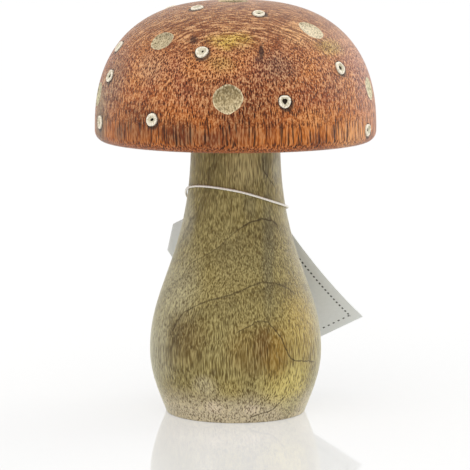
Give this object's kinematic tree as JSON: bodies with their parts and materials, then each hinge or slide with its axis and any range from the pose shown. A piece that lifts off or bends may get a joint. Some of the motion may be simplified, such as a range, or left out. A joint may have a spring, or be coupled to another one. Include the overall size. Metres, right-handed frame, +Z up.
{
  "type": "wooden mushroom ornament",
  "caption": "Turned wooden toadstool with a stained, spotted dome cap on a pear-shaped stem, and a card swing tag on a thread round its neck.",
  "frame": {"origin": "middle of the foot, on the surface the ornament stands on", "axes": "+Z up the stem to the crown, -Y towards the viewer of the picture, +X to the viewer's right"},
  "size_m": [0.1018, 0.106, 0.15],
  "materials": {
    "stained_mango_wood": "orange-red wood stain rubbed through, satin wax, gouged hollows left pale",
    "bare_mango_wood": "sanded and waxed, olive brown with dark growth lines",
    "dowel_wood": "plain planed beech dowel",
    "whitewashed_peg": "matt cream whitewash with a dark eye",
    "cotton_thread": "white twisted cotton",
    "pale_card": "uncoated pale grey card with a dotted border"
  },
  "bodies": {
    "mushroom": {"stem": "bare_mango_wood", "dowel": "dowel_wood", "cap": "stained_mango_wood", "ring_peg_01": "whitewashed_peg", "ring_peg_02": "whitewashed_peg", "ring_peg_03": "whitewashed_peg", "ring_peg_04": "whitewashed_peg", "ring_peg_05": "whitewashed_peg", "ring_peg_06": "whitewashed_peg", "ring_peg_07": "whitewashed_peg", "ring_peg_08": "whitewashed_peg", "ring_peg_09": "whitewashed_peg", "ring_peg_10": "whitewashed_peg", "ring_peg_11": "whitewashed_peg", "ring_peg_12": "whitewashed_peg", "ring_peg_13": "whitewashed_peg", "ring_peg_14": "whitewashed_peg", "ring_peg_15": "whitewashed_peg", "ring_peg_16": "whitewashed_peg", "ring_peg_17": "whitewashed_peg", "ring_peg_18": "whitewashed_peg", "ring_peg_19": "whitewashed_peg", "ring_peg_20": "whitewashed_peg"},
    "thread": {"neck_thread": "cotton_thread", "hole_thread": "cotton_thread", "thread_knot": "cotton_thread"},
    "tag": {"swing_tag": "pale_card"}
  },
  "joints": [
    {"name": "thread_turn", "type": "hinge", "parent": "mushroom", "child": "thread", "pos_m": [0, 0, 0.078], "axis": [0, 0, 1], "continuous": true},
    {"name": "tag_swing", "type": "hinge", "parent": "thread", "child": "tag", "pos_m": [-0.00838, 0.0261, 0.0678], "axis": [0.2852, 0.9214, 0.2639], "range_deg": [-40, 45]}
  ]
}
